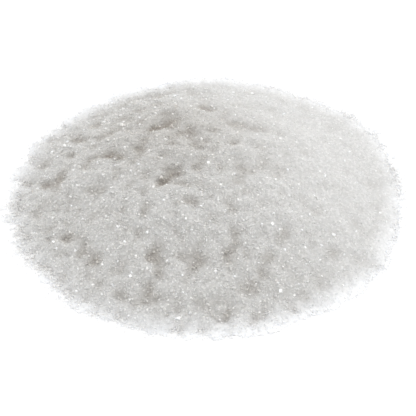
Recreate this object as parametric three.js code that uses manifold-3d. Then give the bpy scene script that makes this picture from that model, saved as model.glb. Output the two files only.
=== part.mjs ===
// A low heap of white yeast nutrient crystals, as it lies on a table after it was tipped out and spread.
//
// The heap is one solid. Its underside is flat and its rim is thin and uneven, about one crystal high.
// The mound between them has rounded clumps with hollows between, a face as rough as the crystals that
// make it up, and the largest crystals lying loose on top, fused where they touch.
//
// Millimetres, +Z up. The origin is the middle of the underside, and the viewer stands on the -Y side.

import * as THREE from 'three';
import { ImprovedNoise } from 'three/addons/math/ImprovedNoise.js';
import { mergeVertices } from 'three/addons/utils/BufferGeometryUtils.js';
import Module from 'manifold-3d';

// Driving dimensions of the heap
const HEAP_WIDTH = 78; // along X
const HEAP_DEPTH = 78; // along Y
const CROWN_HEIGHT = 9.5; // of the smooth mound, before clumps and hollows
const RIM_HEIGHT = 0.5; // one crystal lying on the table
const MOUND_FLATNESS = 2.2; // power of the mound's profile: more is flatter on top
const SKIRT_SOFTNESS = 1.6; // power that bends the foot of the profile out to the rim: 1 ends it abruptly
const RIM_WAVE = 0.035; // how far the outline strays from an ellipse, as a share of its radius
const BROAD_WAVES = 1.6; // of the outline, for each radian round it
const FINE_WAVES = 6;

// The substance
const CRYSTAL = 0.5; // usual length of one crystal
const FACE_ROUGHNESS = 0.4 * CRYSTAL; // how far a bump of the face stands up or down
const RIM_RAGGEDNESS = CRYSTAL; // how far a point of the rim stands out or in
const LOOSE_CRYSTALS = 110;
const LOOSE_LENGTH = { least: 0.8, most: 1.3 }; // the largest crystals, which lie on top
const LOOSE_SLENDERNESS = { least: 1.1, most: 1.7 }; // length over width
const LOOSE_REACH = 0.92; // share of the heap's radius that they are spread over
const LOOSE_RISE = 0.35; // how far a crystal's middle lies above the face, as a share of its radius
const LOOSE_SIDES = 5; // of its prism
const LOOSE_TAPER = 0.85; // one end's width over the other's

// Clumps: soft lumps where damp crystals hold together. They fade towards the smoother right side.
const CLUMPS = [
  { across: 9.0, height: 1.1, creased: false },
  { across: 5.0, height: 1.1, creased: true },
  { across: 2.6, height: 0.6, creased: false },
];
const LUMPY_UP_TO_X = -4;
const SMOOTH_FROM_X = 26;
const LEAST_LUMPINESS = 0.35;
const LAYER_SHIFT = 7.3; // between the clump layers' places in the noise, so that they don't line up
const RELIEF_FADE = 5; // power of the share of the radius at which the relief dies away to the rim

// Hollows between the clumps: centre, half width along X and along Y, and depth. The deep ones lie left
// of the crown, and the shallow ones run round the near side.
const HOLLOWS = [
  { x: -8, y: -4, halfX: 2.8, halfY: 2.4, depth: 2.0 }, // the deepest, near the crown
  { x: -16, y: 7, halfX: 2.6, halfY: 2.2, depth: 1.4 },
  { x: -20, y: 21, halfX: 2.4, halfY: 2.2, depth: 1.0 },
  { x: -25, y: 13, halfX: 3.0, halfY: 2.2, depth: 1.0 },
  { x: -12, y: 14, halfX: 2.8, halfY: 2.0, depth: 0.9 },
  { x: -3, y: 23, halfX: 2.2, halfY: 2.2, depth: 0.8 },
  { x: 8, y: 13, halfX: 2.4, halfY: 2.2, depth: 0.8 },
  { x: 9, y: -2, halfX: 2.6, halfY: 2.2, depth: 1.0 },
  { x: -4, y: -9, halfX: 2.2, halfY: 1.8, depth: 0.8 },
  { x: -16, y: -4, halfX: 2.8, halfY: 2.0, depth: 0.9 },
  { x: -10, y: -22, halfX: 3.0, halfY: 2.4, depth: 1.0 },
  { x: -1, y: -24, halfX: 3.0, halfY: 2.2, depth: 1.0 },
  { x: 5, y: -21, halfX: 2.6, halfY: 2.0, depth: 0.9 },
  { x: -19, y: -22, halfX: 2.6, halfY: 2.0, depth: 0.8 },
  { x: -26, y: -20, halfX: 3.0, halfY: 2.2, depth: 0.7 },
  { x: -20, y: -29, halfX: 3.0, halfY: 1.8, depth: 0.6 },
  { x: -13, y: -31, halfX: 4.0, halfY: 1.8, depth: 0.8 }, // a trough along the near edge
];

// Fineness of the mesh, and the start of every random draw
const RINGS = 32;
const CORNERS = 6; // the first ring's points, and as many more on each ring after it
const JITTER = 0.3; // of the distance between points
const SEED = 20;

const CRYSTAL_WHITE = 0xd6d5d1;

THREE.MathUtils.seededRandom(SEED);
const random = () => THREE.MathUtils.seededRandom();
const between = ({ least, most }) => THREE.MathUtils.lerp(least, most, random());
const perlin = new ImprovedNoise();

// How far the outline is from the middle, in the direction of angle
function rimRadius(angle) {
  const [x, y] = [Math.cos(angle), Math.sin(angle)];
  const ellipse = 1 / Math.hypot(x / (HEAP_WIDTH / 2), y / (HEAP_DEPTH / 2));
  const broad = perlin.noise(BROAD_WAVES * x, BROAD_WAVES * y, SEED);
  const fine = perlin.noise(FINE_WAVES * x, FINE_WAVES * y, SEED);
  return ellipse * (1 + RIM_WAVE * (broad + 0.5 * fine));
}

function moundHeight(share) {
  const rise = (1 - share ** MOUND_FLATNESS) ** SKIRT_SOFTNESS;
  return RIM_HEIGHT + (CROWN_HEIGHT - RIM_HEIGHT) * rise;
}

// Soft lumps above and below the mound: broad ones roll, finer ones are rounded with creases between
function clumpHeight(x, y) {
  const smooth = THREE.MathUtils.smoothstep(x, LUMPY_UP_TO_X, SMOOTH_FROM_X);
  const lumpiness = THREE.MathUtils.lerp(1, LEAST_LUMPINESS, smooth);
  const sum = CLUMPS.reduce((total, { across, height, creased }, layer) => {
    const swell = perlin.noise(x / across, y / across, SEED + LAYER_SHIFT * layer);
    return total + height * (creased ? 2 * Math.abs(swell) - 0.5 : swell);
  }, 0);
  return lumpiness * sum;
}

function hollowDepth(x, y) {
  return HOLLOWS.reduce((sum, hollow) => {
    const away = Math.hypot((x - hollow.x) / hollow.halfX, (y - hollow.y) / hollow.halfY);
    return sum + hollow.depth * Math.exp(-(away ** 2));
  }, 0);
}

// Height of the heap at a point that is this share of the way out to the rim
function surfaceHeight(x, y, share) {
  const inside = 1 - share ** RELIEF_FADE;
  const relief = clumpHeight(x, y) - hollowDepth(x, y);
  return Math.max(RIM_HEIGHT, moundHeight(share) + inside * relief);
}

// Rings of points round the middle, the same distance apart everywhere, each raised to the surface.
// Ring number n has CORNERS * n points.
function surfacePoints() {
  const points = [[new THREE.Vector3(0, 0, surfaceHeight(0, 0, 0))]];
  const step = HEAP_WIDTH / 2 / RINGS;
  for (let ring = 1; ring <= RINGS; ring += 1) {
    const onRim = ring === RINGS;
    const row = [];
    for (let i = 0; i < CORNERS * ring; i += 1) {
      const angle = (2 * Math.PI * i) / (CORNERS * ring);
      const ragged = onRim ? RIM_RAGGEDNESS * (2 * random() - 1) : 0;
      const radius = (rimRadius(angle) * ring) / RINGS + ragged;
      const stray = onRim ? 0 : JITTER * step;
      const x = radius * Math.cos(angle) + stray * (2 * random() - 1);
      const y = radius * Math.sin(angle) + stray * (2 * random() - 1);
      const bump = FACE_ROUGHNESS * (2 * random() - 1);
      const height = surfaceHeight(x, y, ring / RINGS) + (onRim ? bump / 2 : bump);
      row.push(new THREE.Vector3(x, y, Math.max(height, RIM_HEIGHT / 2)));
    }
    points.push(row);
  }
  return points;
}

// The mound: the surface, a low wall down from its rim, and a flat underside
function moundGeometry() {
  const rows = surfacePoints();
  const rim = rows[RINGS];
  const foot = rim.map(({ x, y }) => new THREE.Vector3(x, y, 0));
  const vertices = [...rows.flat(), ...foot, new THREE.Vector3(0, 0, 0)];
  const firstOf = (ring) => (ring === 0 ? 0 : 1 + (CORNERS / 2) * ring * (ring - 1));
  const faces = [];
  for (let ring = 1; ring <= RINGS; ring += 1) {
    const [inner, outer] = [firstOf(ring - 1), firstOf(ring)];
    const [innerCount, outerCount] = [Math.max(1, CORNERS * (ring - 1)), CORNERS * ring];
    for (let corner = 0; corner < CORNERS; corner += 1) {
      for (let i = 0; i < ring; i += 1) {
        const a = outer + corner * ring + i;
        const b = outer + ((corner * ring + i + 1) % outerCount);
        const c = inner + ((corner * (ring - 1) + i) % innerCount);
        faces.push(a, b, c);
        if (i < ring - 1) {
          const d = inner + ((corner * (ring - 1) + i + 1) % innerCount);
          faces.push(b, d, c);
        }
      }
    }
  }
  const [rimStart, footStart] = [firstOf(RINGS), firstOf(RINGS + 1)];
  const middle = vertices.length - 1;
  rim.forEach((_, i) => {
    const next = (i + 1) % rim.length;
    faces.push(footStart + i, footStart + next, rimStart + next);
    faces.push(footStart + i, rimStart + next, rimStart + i);
    faces.push(middle, footStart + next, footStart + i);
  });
  return new THREE.BufferGeometry().setFromPoints(vertices).setIndex(faces);
}

// One large crystal: a short five-sided prism, turned any way and half sunk among the others
function looseCrystal(number, mound) {
  const length = between(LOOSE_LENGTH);
  const radius = length / between(LOOSE_SLENDERNESS) / 2;
  const spiralTurn = Math.PI * (3 - Math.sqrt(5)); // the golden angle spreads them evenly
  const angle = number * spiralTurn;
  const share = LOOSE_REACH * Math.sqrt((number + random()) / LOOSE_CRYSTALS);
  const reach = share * rimRadius(angle);
  const above = new THREE.Vector3(reach * Math.cos(angle), reach * Math.sin(angle), 2 * CROWN_HEIGHT);
  const down = new THREE.Vector3(0, 0, -1);
  const [{ point: seat }] = new THREE.Raycaster(above, down).intersectObject(mound);
  const turn = new THREE.Euler(...[0, 0, 0].map(() => 2 * Math.PI * random()));
  return new THREE.CylinderGeometry(radius, LOOSE_TAPER * radius, length, LOOSE_SIDES)
    .applyMatrix4(new THREE.Matrix4().makeRotationFromEuler(turn))
    .translate(seat.x, seat.y, seat.z + LOOSE_RISE * radius);
}

const wasm = await Module();
wasm.setup();

function solidOf(geometry) {
  ['normal', 'uv'].forEach((name) => geometry.deleteAttribute(name));
  const merged = mergeVertices(geometry);
  const vertProperties = merged.attributes.position.array;
  const triVerts = new Uint32Array(merged.index.array);
  return new wasm.Manifold(new wasm.Mesh({ numProp: 3, vertProperties, triVerts }));
}

function geometryOf(solid) {
  const { vertProperties, triVerts } = solid.getMesh();
  return new THREE.BufferGeometry()
    .setAttribute('position', new THREE.BufferAttribute(vertProperties, 3))
    .setIndex(new THREE.BufferAttribute(triVerts, 1));
}

function crystalHeap() {
  const mound = new THREE.Mesh(moundGeometry());
  let solid = solidOf(mound.geometry);
  for (let number = 0; number < LOOSE_CRYSTALS; number += 1) {
    solid = solid.add(solidOf(looseCrystal(number, mound)));
  }
  const geometry = geometryOf(solid);
  geometry.computeBoundingBox();
  const middle = geometry.boundingBox.getCenter(new THREE.Vector3());
  geometry.translate(-middle.x, -middle.y, 0);
  geometry.computeVertexNormals();
  const material = new THREE.MeshStandardMaterial({
    color: CRYSTAL_WHITE,
    roughness: 0.45,
    metalness: 0,
    flatShading: true,
  });
  const mesh = new THREE.Mesh(geometry, material);
  mesh.name = 'crystal_heap';
  return mesh;
}

const heap = new THREE.Group();
heap.add(crystalHeap());

export default heap;
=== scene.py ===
import math

import bmesh
import bpy
import numpy as np
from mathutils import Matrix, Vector
from mathutils.bvhtree import BVHTree


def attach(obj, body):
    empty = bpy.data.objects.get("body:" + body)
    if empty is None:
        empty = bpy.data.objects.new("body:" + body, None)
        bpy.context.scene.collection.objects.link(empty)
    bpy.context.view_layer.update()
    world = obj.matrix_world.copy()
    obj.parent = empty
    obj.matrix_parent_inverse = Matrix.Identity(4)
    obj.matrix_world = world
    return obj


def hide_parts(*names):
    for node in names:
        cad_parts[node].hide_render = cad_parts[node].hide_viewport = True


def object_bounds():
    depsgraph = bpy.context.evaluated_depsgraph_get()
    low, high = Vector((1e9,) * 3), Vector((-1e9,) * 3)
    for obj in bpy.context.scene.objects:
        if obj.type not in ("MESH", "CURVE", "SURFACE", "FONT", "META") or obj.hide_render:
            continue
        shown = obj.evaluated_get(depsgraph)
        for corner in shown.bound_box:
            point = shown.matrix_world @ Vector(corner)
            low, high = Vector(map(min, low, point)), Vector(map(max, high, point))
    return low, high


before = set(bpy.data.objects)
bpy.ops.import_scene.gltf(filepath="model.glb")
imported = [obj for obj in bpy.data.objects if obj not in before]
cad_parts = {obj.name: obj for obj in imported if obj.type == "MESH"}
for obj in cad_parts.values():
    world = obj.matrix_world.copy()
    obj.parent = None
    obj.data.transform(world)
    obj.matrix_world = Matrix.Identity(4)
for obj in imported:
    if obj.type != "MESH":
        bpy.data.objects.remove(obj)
cad_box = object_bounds()

# A low heap of fine white yeast nutrient crystals, lying on a white table.
#
# The solid's height is read into a map, which gets small soft clumps. A core of packed crystals fills the
# heap up to that bed. Modelled crystals rain down on it one after another, each settling into those below it,
# so the heap's face is made of real crystals. Towards the rim they get smaller, with the table's white
# painted into them as painted light, and break up into patches and then into single crystals on the table.
# Shade in the hollows is painted into the colours as grey. Metres throughout, in the frame of the imported
# part.

MM = 0.001
SEED = 20
random = np.random.default_rng(SEED)
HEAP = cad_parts["crystal_heap"]

# ---------------------------------------------------------------- driving dimensions

CRYSTAL = 0.5 * MM  # usual length of one crystal

# Maps of the heap, as seen from above
SURVEY_STEP = 0.5 * MM  # between the points where the solid's height is read
GRID_STEP = 0.12 * MM  # between the points of every map
MAP_REACH = 45 * MM  # from the middle to the maps' edges, past the last stray crystal
FACE_BLUR = 2.7 * MM  # takes the solid's own coarse crystals off its broad relief
UNDERSIDE = 0.01 * MM  # the solid's corners below this height belong to its underside

# The bed that the modelled crystals lie on, with clumps that are too small for the solid
BED_DEPTH = 0.1 * MM  # how far it lies under the solid's face
CLUMPS = ((3.4 * MM, 0.24 * MM), (1.4 * MM, 0.09 * MM))  # size and usual height
SMOOTH_WAY = (0.9, 0.44)  # towards the heap's far right, where it is smoothest and its crystals are finest
LUMPY_UP_TO = -2 * MM  # from the middle along that way: the clumps are whole up to here
SMOOTH_FROM = 24 * MM  # and lowest from here on
LEAST_LUMPINESS = 0.3

# The rim: these are measured outwards from the solid's own
THIN_FROM = -1.5 * MM  # the crystals begin to thin out
THIN_TO = 3.0 * MM  # and the last of them lie here
STRAY_SHARE = 0.2  # the outer part of that stretch, where only stray crystals lie
BED_FROM = -3.0 * MM  # the bed begins to sink to the table
BED_TO = 3.6 * MM  # and reaches it here
PALE_FROM = -5.7 * MM  # the table's white light begins to be painted into the crystals
PALE_TO = 2.8 * MM  # and from here on the crystals are painted as white as it is
ENDS_FURTHER = 1.5 * MM  # how much further out all this lies at the heap's left and right ends
SKEW = 1.5 * MM  # and half of this at its near left and far right, and as much less at the other corners
PATCH = 1.3 * MM  # size of the patches that the crystals break up into
RAGGED = 0.30  # how strongly they break up
SMOOTH_SIDE_PAINTED_LIGHT = 0.12  # how far the finer crystals of the smooth side are painted towards the table's white, as painted light

# Painted shade: greyer places
HOLLOW_SPAN = 3.5 * MM  # a place lower than the mean of this span round it lies in a hollow
HOLLOW_DEPTHS = (0.0, 0.7 * MM)  # the painted shade begins at one depth, and is greyest at the other
HOLLOW_BLUR = 0.7 * MM  # width of the painted shade's soft edge
SHADE_PATCH = dict(x=-5 * MM, y=12 * MM, half_x=18 * MM, half_y=13 * MM)  # a patch of painted shade, behind the crown
SHADE_PATCH_SHARE = 0.42  # how grey its painted shade is, over the deepest hollow

# The core
CORE_STEP = 0.32 * MM  # between its corners, fine enough for its facets to read as small crystals
CORE_JITTER = 0.35  # of a step, how far a corner strays sideways
CORE_BUMP = 0.03 * MM  # and up or down
CORE_LEAST = 0.04 * MM  # its edge is no thinner

# Each kind of crystal: how many, their length in millimetres, their width and thickness as shares of the
# length, how far their middle lies over the bed as a share of their half height, and how many corners they
# have lost
KINDS = {
    "blocky_crystals": dict(
        count=8800, length=(0.33, 0.52), width=(0.75, 1.0), thick=(0.65, 0.95), rise=(-0.95, -0.2), cuts=2),
    "long_crystals": dict(
        count=7800, length=(0.40, 0.68), width=(0.50, 0.70), thick=(0.45, 0.65), rise=(-0.95, -0.2), cuts=2),
    "flat_crystals": dict(
        count=7800, length=(0.34, 0.56), width=(0.70, 0.95), thick=(0.30, 0.50), rise=(-0.95, -0.2), cuts=2),
    "small_crystals": dict(
        count=9000, length=(0.27, 0.40), width=(0.60, 0.95), thick=(0.50, 0.90), rise=(-0.9, -0.1), cuts=0),
    "crystal_chips": dict(
        count=4000, length=(0.20, 0.28), width=(0.55, 0.95), thick=(0.40, 0.80), rise=(-0.6, 0.3), cuts=1),
    "clear_crystals": dict(
        count=430, length=(0.28, 0.50), width=(0.65, 0.95), thick=(0.60, 0.90), rise=(-0.2, 0.5), cuts=3),
    "large_crystals": dict(
        count=38, length=(0.55, 0.75), width=(0.70, 0.95), thick=(0.60, 0.85), rise=(-0.2, 0.5), cuts=5),
}
BLANKS = 12  # different shapes in each kind
LEAN = 0.25  # most that a crystal's prism leans
CORNER_SLANT = (0.35, 1.0)  # how unevenly a lost corner's face may slant to the prism's three ways
CORNER_CUT = (0.68, 0.84)  # how far out that face lies, as a share of the corner's distance
FINEST = 0.5  # size of a crystal at the rim over one in the middle: the last to lie there are the smallest
SETTLED = 0.6  # how much deeper crystals lie where there are no clumps, as a share of their half height
ROLLING = 0.4 * MM  # how far a crystal looks round for a lower place to lie
TRIES = 2  # how many places it looks at
TONES = (1.05, 3.3)  # shape of the beta draw of a crystal's tone: most are dull and a few are milky white


# ---------------------------------------------------------------- maps

def blurred(values, radius):
    """A map after a soft round blur, as three box blurs one after another."""
    cells = max(1, round(radius / GRID_STEP / 2))
    wide = 2 * cells + 1
    for _ in range(3):
        for axis in (0, 1):
            sums = np.cumsum(np.insert(values, 0, 0, axis=axis), axis=axis)
            middle = (np.take(sums, range(wide, sums.shape[axis]), axis=axis)
                      - np.take(sums, range(0, sums.shape[axis] - wide), axis=axis)) / wide
            pad = [(cells, cells) if a == axis else (0, 0) for a in (0, 1)]
            values = np.pad(middle, pad, mode="edge")
    return values


def soft_noise(size):
    """A map of rounded lumps of about this size, with a mean of 0 and a usual height of 1."""
    noise = blurred(random.normal(size=X.shape), size / 2)
    return (noise - noise.mean()) / noise.std()


def eased(values):
    """0 up to 0 and 1 from 1 on, with a soft S between."""
    values = np.clip(values, 0, 1)
    return values * values * (3 - 2 * values)


def survey():
    """A map of the solid's height, zero beside it."""
    tree = BVHTree.FromObject(HEAP, bpy.context.evaluated_depsgraph_get())
    places = np.arange(-MAP_REACH, MAP_REACH + SURVEY_STEP / 2, SURVEY_STEP)
    heights = np.zeros((len(places), len(places)))
    top = cad_box[1][2] + CRYSTAL
    for row, y in enumerate(places):
        for column, x in enumerate(places):
            hit = tree.ray_cast(Vector((x, y, top)), Vector((0, 0, -1)))[0]
            if hit:
                heights[row, column] = hit.z
    rows = np.array([np.interp(GRID, places, row) for row in heights])
    heights = np.array([np.interp(GRID, places, column) for column in rows.T]).T
    return blurred(heights, FACE_BLUR)


def rim_outline():
    """Angles and radii of the solid's outline, from the corners of its flat underside."""
    corners = np.array([v.co[:] for v in HEAP.data.vertices if abs(v.co.z) < UNDERSIDE])
    radii = np.hypot(corners[:, 0], corners[:, 1])
    corners, radii = corners[radii > CRYSTAL], radii[radii > CRYSTAL]
    angles = np.arctan2(corners[:, 1], corners[:, 0])
    order = np.argsort(angles)
    return angles[order], radii[order]


def past_rim():
    """A map of how far places lie outside the solid's outline: negative inside it."""
    rim = np.interp(np.arctan2(Y, X), RIM_ANGLES, RIM_RADII, period=2 * math.pi)
    return np.hypot(X, Y) - rim


def cell(place):
    """The row or column of a map that lies nearest to a place along one axis."""
    return int(round((place + MAP_REACH) / GRID_STEP))


def at(values, x, y):
    """What a map holds at many places."""
    rows = np.clip(np.round((y + MAP_REACH) / GRID_STEP).astype(int), 0, len(GRID) - 1)
    columns = np.clip(np.round((x + MAP_REACH) / GRID_STEP).astype(int), 0, len(GRID) - 1)
    return values[rows, columns]


GRID = np.arange(-MAP_REACH, MAP_REACH + GRID_STEP / 2, GRID_STEP)
X, Y = np.meshgrid(GRID, GRID)
RIM_ANGLES, RIM_RADII = rim_outline()
FACE = survey()
OUTWARD = past_rim() - (ENDS_FURTHER * X * X + SKEW * X * Y) / RIM_RADII.max() ** 2

# 1 on the smooth side, and 1 where the crystals lie as thick as they do in the middle
SMOOTH = np.interp(SMOOTH_WAY[0] * X + SMOOTH_WAY[1] * Y, (LUMPY_UP_TO, SMOOTH_FROM), (0, 1))
INWARD = np.clip((THIN_TO - OUTWARD) / (THIN_TO - THIN_FROM), 0, 1)

# Painted light: 1 where the crystals are painted as white as the table, as if its light came through them
PAINTED_LIGHT = eased((OUTWARD - PALE_FROM) / (PALE_TO - PALE_FROM))
# Painted light on the smooth right side, which is painted paler as if lit more
PAINTED_LIGHT = PAINTED_LIGHT + (1 - PAINTED_LIGHT) * SMOOTH_SIDE_PAINTED_LIGHT * SMOOTH

# The share of the crystals that stay where they land, which is lower towards the rim and in patches there
COVER = (INWARD - STRAY_SHARE) / (1 - STRAY_SHARE) + RAGGED * (1 - INWARD) * soft_noise(PATCH)
COVER = np.clip(COVER, 0, 1) * (INWARD > 0)

# Height of the bed, and 1 where the painted shade is greyest
LUMPINESS = INWARD * (1 - (1 - LEAST_LUMPINESS) * SMOOTH)
BED = FACE - BED_DEPTH + LUMPINESS * sum(height * soft_noise(size) for size, height in CLUMPS)
HOLLOW_SHADE = blurred(np.interp(blurred(BED, HOLLOW_SPAN) - BED, HOLLOW_DEPTHS, (0, 1)), HOLLOW_BLUR)
# A broad patch of painted shade behind the crown, added to the hollows' painted shade
AWAY = ((X - SHADE_PATCH["x"]) / SHADE_PATCH["half_x"]) ** 2 + ((Y - SHADE_PATCH["y"]) / SHADE_PATCH["half_y"]) ** 2
HOLLOW_SHADE = np.minimum(1, HOLLOW_SHADE + SHADE_PATCH_SHARE * np.exp(-AWAY))
BED = np.maximum(0, BED) * eased((BED_TO - OUTWARD) / (BED_TO - BED_FROM))


# ---------------------------------------------------------------- materials

MILKY = ("#C9C8C6", "#E7E6E4")  # from the dullest crystal to the whitest
# Clear crystals are painted nearly pure white, a painted sparkle, so that they stand out as bright points
PAINTED_SPARKLE_WHITES = ("#F8F8F8", "#FFFFFF")
MILK_STOPS = (0.1, 0.95)  # how milky those two are
PACKED = ((0.2, "#BBBAB8"), (0.5, "#C1C0BE"), (0.85, "#D1D0CE"))
CARD = ((0.3, "#F7F7F7"), (0.7, "#FBFBFB"))
HOLLOW_SHADE_GREY = "#CCC6BF"  # painted shade in the hollows: what a hollow leaves of the light, a little warm
# painted light: the table's white, painted into the crystals towards the rim
PAINTED_TABLE_WHITE = "#FCFDFF"

SALT_IOR = 1.52
LIGHT_DEPTH = 0.2 * MM  # how far light goes through the salt, so that single crystals have no dark edges
LIGHT_SPREAD = (1.0, 0.97, 0.92)  # of red, green and blue, as shares of that
CLOUD = 0.5 * MM  # size of the milky clouds that run through the crystals
CLOUDINESS = 0.35  # how much they change a crystal's tone
GRAIN = 0.38 * MM  # size of the core's grains: real ones are finer, and this is the finest that shows
PACKED_ROUGHNESS = 0.7
FIBRE = 2 * MM  # a card's real fibres are far finer, and are drawn this wide so that they can show
CARD_ROUGHNESS = 0.9


def srgb(hexcode):
    """A linear colour from an sRGB hex value."""
    values = [int(hexcode[i:i + 2], 16) / 255 for i in (1, 3, 5)]
    return [v / 12.92 if v <= 0.04045 else ((v + 0.055) / 1.055) ** 2.4 for v in values] + [1.0]


def node(tree, kind, settings=None, inputs=None, stops=()):
    """Adds a node with its settings, its inputs set to numbers or linked to sockets, and its colour stops."""
    new = tree.nodes.new(kind)
    for name, value in (settings or {}).items():
        setattr(new, name, value)
    for name, value in (inputs or {}).items():
        if isinstance(value, bpy.types.NodeSocket):
            tree.links.new(value, new.inputs[name])
        else:
            new.inputs[name].default_value = value
    for number, (position, colour) in enumerate(stops):
        elements = new.color_ramp.elements
        element = elements[number] if number < len(elements) else elements.new(position)
        element.position = position
        element.color = srgb(colour)
    return new


def material(name):
    new = bpy.data.materials.new(name)
    new.use_nodes = True
    return new, new.node_tree, new.node_tree.nodes["Principled BSDF"]


def salt(name):
    """White salt, which light goes a little way into, so that its edges look soft."""
    new, tree, shader = material(name)
    shader.inputs["Subsurface Weight"].default_value = 1.0
    shader.inputs["Subsurface Radius"].default_value = LIGHT_SPREAD
    shader.inputs["Subsurface Scale"].default_value = LIGHT_DEPTH
    return new, tree, shader


def with_painted_shade_and_light(tree, colour):
    """A colour with painted shade and light: greyer in a hollow, as painted shade, and paler where the
    table's light is painted in.
    """
    painted_shade = node(tree, "ShaderNodeAttribute", {"attribute_name": "painted_shade"}).outputs["Fac"]
    table_light = node(tree, "ShaderNodeAttribute", {"attribute_name": "table_light"}).outputs["Fac"]
    shaded = node(tree, "ShaderNodeMix", {"data_type": "RGBA", "blend_type": "MULTIPLY"},
                  {0: painted_shade, 6: colour, 7: srgb(HOLLOW_SHADE_GREY)})
    paler = node(tree, "ShaderNodeMix", {"data_type": "RGBA", "blend_type": "MIX"},
                 {0: table_light, 6: shaded.outputs[2], 7: srgb(PAINTED_TABLE_WHITE)})
    return paler.outputs[2]


def grown_salt(name, colours, roughness):
    """Salt crystals grown from water. Each has its own tone, and the milky ones are whiter and less shiny."""
    new, tree, shader = salt(name)
    place = node(tree, "ShaderNodeTexCoord").outputs["Object"]
    tone = node(tree, "ShaderNodeAttribute", {"attribute_name": "tone"}).outputs["Fac"]
    cloud = node(tree, "ShaderNodeTexNoise", inputs={"Vector": place, "Scale": 1 / CLOUD, "Detail": 2.0})
    milk = node(tree, "ShaderNodeMath", {"operation": "MULTIPLY_ADD"},
                {0: cloud.outputs["Fac"], 1: CLOUDINESS, 2: tone})
    colour = node(tree, "ShaderNodeValToRGB", inputs={"Fac": milk.outputs[0]}, stops=zip(MILK_STOPS, colours))
    rough = node(tree, "ShaderNodeMapRange",
                 inputs={"Value": tone, "To Min": roughness[0], "To Max": roughness[1]})
    tree.links.new(with_painted_shade_and_light(tree, colour.outputs["Color"]), shader.inputs["Base Color"])
    tree.links.new(rough.outputs["Result"], shader.inputs["Roughness"])
    shader.inputs["IOR"].default_value = SALT_IOR
    return new


def packed_salt():
    """Salt grains packed by their own weight, too small to model: matt and sugary, each of its own grey."""
    new, tree, shader = salt("packed_salt_grains")
    place = node(tree, "ShaderNodeTexCoord").outputs["Object"]
    grains = node(tree, "ShaderNodeTexVoronoi", inputs={"Vector": place, "Scale": 1 / GRAIN})
    colour = node(tree, "ShaderNodeValToRGB", inputs={"Fac": grains.outputs["Color"]}, stops=PACKED)
    tree.links.new(with_painted_shade_and_light(tree, colour.outputs["Color"]), shader.inputs["Base Color"])
    shader.inputs["Roughness"].default_value = PACKED_ROUGHNESS
    return new


def white_card():
    """Matt white card, pressed: the eye gets an even white with no highlight, and at most a faint fibre."""
    new, tree, shader = material("matt_white_card")
    place = node(tree, "ShaderNodeTexCoord").outputs["Object"]
    fibre = node(tree, "ShaderNodeTexNoise", inputs={"Vector": place, "Scale": 1 / FIBRE, "Detail": 3.0})
    colour = node(tree, "ShaderNodeValToRGB", inputs={"Fac": fibre.outputs["Fac"]}, stops=CARD)
    tree.links.new(colour.outputs["Color"], shader.inputs["Base Color"])
    shader.inputs["Roughness"].default_value = CARD_ROUGHNESS
    return new


# ---------------------------------------------------------------- the core

def add_piece(name, mesh, surface):
    piece = bpy.data.objects.new(name, mesh)
    bpy.context.scene.collection.objects.link(piece)
    mesh.materials.append(surface)
    return piece


def write_place(mesh):
    """Writes the painted shade of the hollows and the painted light of the table at each corner, for the
    materials.
    """
    places = np.empty(3 * len(mesh.vertices))
    mesh.vertices.foreach_get("co", places)
    for name, values in (("painted_shade", HOLLOW_SHADE), ("table_light", PAINTED_LIGHT)):
        found = at(values, places[0::3], places[1::3])
        mesh.attributes.new(name, "FLOAT", "POINT").data.foreach_set("value", found)


def core_mesh():
    """A grid cut to where the bed lies, raised to its height, as rough as crystals, and closed below."""
    shape = bmesh.new()
    reach = MAP_REACH - CORE_STEP
    count = round(2 * reach / CORE_STEP)
    bmesh.ops.create_grid(shape, x_segments=count, y_segments=count, size=reach)
    middles = np.array([f.calc_center_median()[:2] for f in shape.faces])
    bare = at(BED, middles[:, 0], middles[:, 1]) < 2 * CORE_LEAST
    bmesh.ops.delete(shape, geom=[f for f, gone in zip(shape.faces, bare) if gone], context="FACES")
    raised = bmesh.ops.extrude_face_region(shape, geom=list(shape.faces))
    top = [v for v in raised["geom"] if isinstance(v, bmesh.types.BMVert)]
    most = (CORE_JITTER * CORE_STEP, CORE_JITTER * CORE_STEP, CORE_BUMP)
    strays = random.uniform(-1, 1, (len(top), 3)) * most
    places = np.array([v.co[:2] for v in top]) + strays[:, :2]
    heights = at(BED, places[:, 0], places[:, 1]) + strays[:, 2]
    for vert, (x, y), height in zip(top, places, heights):
        vert.co = Vector((x, y, max(height, CORE_LEAST)))
    bmesh.ops.recalc_face_normals(shape, faces=shape.faces)
    mesh = bpy.data.meshes.new("crystal_core")
    shape.to_mesh(mesh)
    shape.free()
    write_place(mesh)
    return mesh


# ---------------------------------------------------------------- cutting the crystals

def blank(cuts):
    """Corners and faces of one crystal of unit size: a leaning prism that has lost some corners."""
    shape = bmesh.new()
    bmesh.ops.create_cube(shape, size=1)
    lean_x, lean_y, twist = random.uniform(-LEAN, LEAN, 3)
    for vert in shape.verts:
        x, y, z = vert.co
        vert.co = Vector((x + lean_x * z + twist * y, y + lean_y * z, z))
    for _ in range(cuts):
        way = Vector(random.choice((-1, 1), 3) * random.uniform(*CORNER_SLANT, 3)).normalized()
        far = max(vert.co.dot(way) for vert in shape.verts)
        geometry = shape.verts[:] + shape.edges[:] + shape.faces[:]
        bmesh.ops.bisect_plane(shape, geom=geometry, plane_co=way * far * random.uniform(*CORNER_CUT),
                               plane_no=way, clear_outer=True)
        bmesh.ops.holes_fill(shape, edges=shape.edges, sides=0)
    bmesh.ops.triangulate(shape, faces=shape.faces)
    bmesh.ops.recalc_face_normals(shape, faces=shape.faces)
    shape.verts.index_update()
    corners = np.array([v.co[:] for v in shape.verts])
    faces = np.array([[v.index for v in f.verts] for f in shape.faces])
    shape.free()
    return corners - (corners.max(0) + corners.min(0)) / 2, faces


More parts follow.
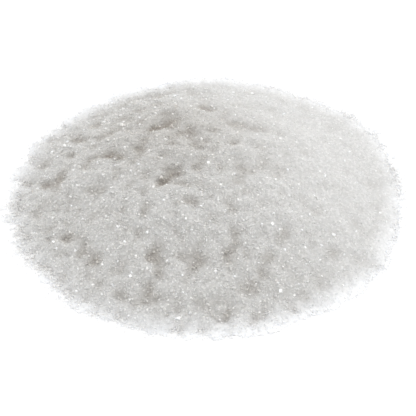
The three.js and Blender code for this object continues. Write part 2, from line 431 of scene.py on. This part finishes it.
def turns(count):
    """Random turns in space, as rotation matrices, from random unit quaternions."""
    quaternions = random.normal(size=(4, count))
    w, x, y, z = quaternions / np.linalg.norm(quaternions, axis=0)
    return np.array([
        [1 - 2 * (y * y + z * z), 2 * (x * y - z * w), 2 * (x * z + y * w)],
        [2 * (x * y + z * w), 1 - 2 * (x * x + z * z), 2 * (y * z - x * w)],
        [2 * (x * z - y * w), 2 * (y * z + x * w), 1 - 2 * (x * x + y * y)],
    ]).transpose(2, 0, 1)


def spread(count):
    """Places spread evenly over the heap by the golden angle, as many as the cover lets lie."""
    numbers = np.arange(count)
    reach = RIM_RADII.max() + THIN_TO
    radius = reach * np.sqrt((numbers + random.random(count)) / count)
    angle = numbers * math.pi * (3 - math.sqrt(5)) + random.uniform(0, 2 * math.pi)
    x = radius * np.cos(angle) + random.normal(0, CRYSTAL / 2, count)
    y = radius * np.sin(angle) + random.normal(0, CRYSTAL / 2, count)
    kept = random.random(count) < at(COVER, x, y)
    return x[kept], y[kept]


class Batch:
    """Crystals of one kind cut from one blank: their corners round their own middles, and their places."""

    def __init__(self, kind, x, y):
        sizes = KINDS[kind]
        shape, self.faces = blank(sizes["cuts"])
        length = random.uniform(*sizes["length"], len(x)) * MM * (1 - (1 - FINEST) * at(PAINTED_LIGHT, x, y))
        width = length * random.uniform(*sizes["width"], len(x))
        thickness = length * random.uniform(*sizes["thick"], len(x))
        scale = np.array([length, width, thickness]).T
        self.corners = np.einsum("nij,nvj->nvi", turns(len(x)), shape[None] * scale[:, None])
        self.places = np.array([x, y, np.zeros(len(x))]).T
        self.half = np.abs(self.corners).max(1)
        self.rise = random.uniform(*sizes["rise"], len(x)) - SETTLED * (1 - at(LUMPINESS, x, y))
        self.tone = random.beta(*TONES, len(x))


def cut_all():
    """The batches of every kind."""
    batches = {}
    for kind, sizes in KINDS.items():
        x, y = spread(sizes["count"])
        order = random.permutation(len(x))
        batches[kind] = [Batch(kind, x[some], y[some]) for some in np.array_split(order, BLANKS)]
    return batches


# ---------------------------------------------------------------- raining them down

def window(heights, x, y, half):
    """The patch of the map under a crystal, and how far the crystal bulges over each cell of it."""
    rows = slice(cell(y - half[1]), cell(y + half[1]) + 1)
    columns = slice(cell(x - half[0]), cell(x + half[0]) + 1)
    away = ((GRID[rows] - y) / half[1])[:, None] ** 2 + ((GRID[columns] - x) / half[0])[None] ** 2
    return heights[rows, columns], half[2] * np.sqrt(np.clip(1 - away, 0, 1))


def rain(batches):
    """Drops the crystals in a random order. Each rolls to the lower of the places near it, and settles in."""
    heights = BED.copy()
    queue = [(batch, i) for kind in KINDS for batch in batches[kind] for i in range(len(batch.places))]
    for number in random.permutation(len(queue)):
        batch, i = queue[number]
        half = batch.half[i]
        lowest = None
        for step_x, step_y in random.uniform(-ROLLING, ROLLING, (TRIES, 2)):
            x, y = batch.places[i, 0] + step_x, batch.places[i, 1] + step_y
            under, bulge = window(heights, x, y, half)
            ground = (under * bulge).sum() / bulge.sum()
            if lowest is None or ground < lowest[0]:
                lowest = ground, x, y
        ground, x, y = lowest
        middle = max(ground + batch.rise[i] * half[2], half[2])
        batch.places[i] = x, y, middle
        under, bulge = window(heights, x, y, half)
        np.maximum(under, np.where(bulge > 0, middle + bulge, 0), out=under)


def crystal_piece(kind, batches, surface):
    """All crystals of one kind as one mesh, with each one's tone on its corners."""
    corners, faces, tones = [], [], []
    first = 0
    for batch in batches:
        count, size = batch.corners.shape[:2]
        corners.append((batch.corners + batch.places[:, None]).reshape(-1, 3))
        faces.append((batch.faces[None] + first + size * np.arange(count)[:, None, None]).reshape(-1, 3))
        tones.append(np.repeat(batch.tone, size))
        first += count * size
    corners, faces, tones = np.concatenate(corners), np.concatenate(faces), np.concatenate(tones)
    mesh = bpy.data.meshes.new(kind)
    mesh.vertices.add(len(corners))
    mesh.vertices.foreach_set("co", corners.ravel())
    mesh.loops.add(faces.size)
    mesh.loops.foreach_set("vertex_index", faces.ravel())
    mesh.polygons.add(len(faces))
    mesh.polygons.foreach_set("loop_start", np.arange(0, faces.size, 3))
    mesh.attributes.new("tone", "FLOAT", "POINT").data.foreach_set("value", tones)
    mesh.update(calc_edges=True)
    mesh.shade_flat()
    write_place(mesh)
    return add_piece(kind, mesh, surface)


batches = cut_all()
rain(batches)

SURFACES = {
    # Grown slowly on all sides: even flat faces, with a short glint where one meets the light
    "blocky_crystals": grown_salt("blocky_grown_salt", MILKY, (0.15, 0.45)),
    # Grown faster along one way into prisms: narrow streaks of light along their sides
    "long_crystals": grown_salt("prismatic_grown_salt", MILKY, (0.12, 0.40)),
    # Grown into plates: one broad face each, which is light or dark as a whole
    "flat_crystals": grown_salt("tabular_grown_salt", MILKY, (0.12, 0.40)),
    # Grown last and least: a fine soft sparkle between the others
    "small_crystals": grown_salt("fine_grown_salt", MILKY, (0.15, 0.45)),
    # Broken off the others: rough faces that spread the light, and look matt beside the grown ones
    "crystal_chips": grown_salt("broken_salt", MILKY, (0.30, 0.60)),
    # Grown without clouds: the smoothest of their size, and painted whitest as a painted sparkle, so that
    # they stand out as bright points
    "clear_crystals": grown_salt("clear_salt_painted_sparkle", PAINTED_SPARKLE_WHITES, (0.08, 0.25)),
    # The same, and large enough for the eye to make out their faces
    "large_crystals": grown_salt("large_clear_salt_painted_sparkle", PAINTED_SPARKLE_WHITES, (0.06, 0.20)),
}
pieces = [add_piece("crystal_core", core_mesh(), packed_salt())]
pieces += [crystal_piece(kind, batches[kind], SURFACES[kind]) for kind in KINDS]
for piece in pieces:
    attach(piece, "root")
    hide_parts("crystal_heap")


# ---------------------------------------------------------------- table, light and camera

TABLE_REACH = 3.0  # metres from the middle to its edges, so that they stay out of every view
STUDIO_LIGHT = 1.10  # strength of the even white light all round, which makes the table come out pure white
LENS = 110  # millimetres, as is the next
SENSOR = 36
ELEVATION = 41.5  # degrees from which the camera looks down
VIEW_WIDTH = 83.2 * MM  # 416 pixels at 5 to the millimetre
AIM = Vector((0.2, -4.3, 0)) * MM


def table():
    shape = bmesh.new()
    bmesh.ops.create_grid(shape, x_segments=1, y_segments=1, size=TABLE_REACH)
    mesh = bpy.data.meshes.new("table")
    shape.to_mesh(mesh)
    shape.free()
    return add_piece("table", mesh, white_card())


def direction(azimuth, elevation):
    """Unit vector from the heap towards a place: azimuth 0 is the viewer's side, 90 the viewer's right."""
    azimuth, elevation = math.radians(azimuth), math.radians(elevation)
    return Vector((math.sin(azimuth) * math.cos(elevation), -math.cos(azimuth) * math.cos(elevation),
                   math.sin(elevation)))


def aimed(thing, place, target):
    thing.location = place
    thing.rotation_euler = (target - place).to_track_quat("-Z", "Y").to_euler()
    bpy.context.scene.collection.objects.link(thing)
    return thing


def softbox(name, azimuth, elevation, distance, size, power):
    lamp = bpy.data.lights.new(name, "AREA")
    lamp.shape = "DISK"
    lamp.size = size
    lamp.energy = power
    return aimed(bpy.data.objects.new(name, lamp), distance * direction(azimuth, elevation), Vector())


floor = table()

# The large softbox shades the clumps from the right, and the small one lights up single faces. Degrees,
# metres and watts.
softbox("key_softbox", azimuth=100, elevation=45, distance=0.25, size=0.22, power=0.07)
softbox("glint_softbox", azimuth=120, elevation=50, distance=0.30, size=0.03, power=0.07)

world = bpy.data.worlds.new("studio")
world.use_nodes = True
world.node_tree.nodes["Background"].inputs["Color"].default_value = (1, 1, 1, 1)
world.node_tree.nodes["Background"].inputs["Strength"].default_value = STUDIO_LIGHT
bpy.context.scene.world = world

# Light goes on for many bounces between white crystals, and their white has to stay neutral
bpy.context.scene.cycles.max_bounces = 24
bpy.context.scene.cycles.diffuse_bounces = 16
bpy.context.scene.view_settings.view_transform = "Standard"

lens = bpy.data.cameras.new("camera")
lens.lens = LENS
lens.sensor_width = SENSOR
distance = LENS / SENSOR * VIEW_WIDTH
camera = aimed(bpy.data.objects.new("camera", lens), AIM + distance * direction(0, ELEVATION), AIM)
bpy.context.scene.camera = camera
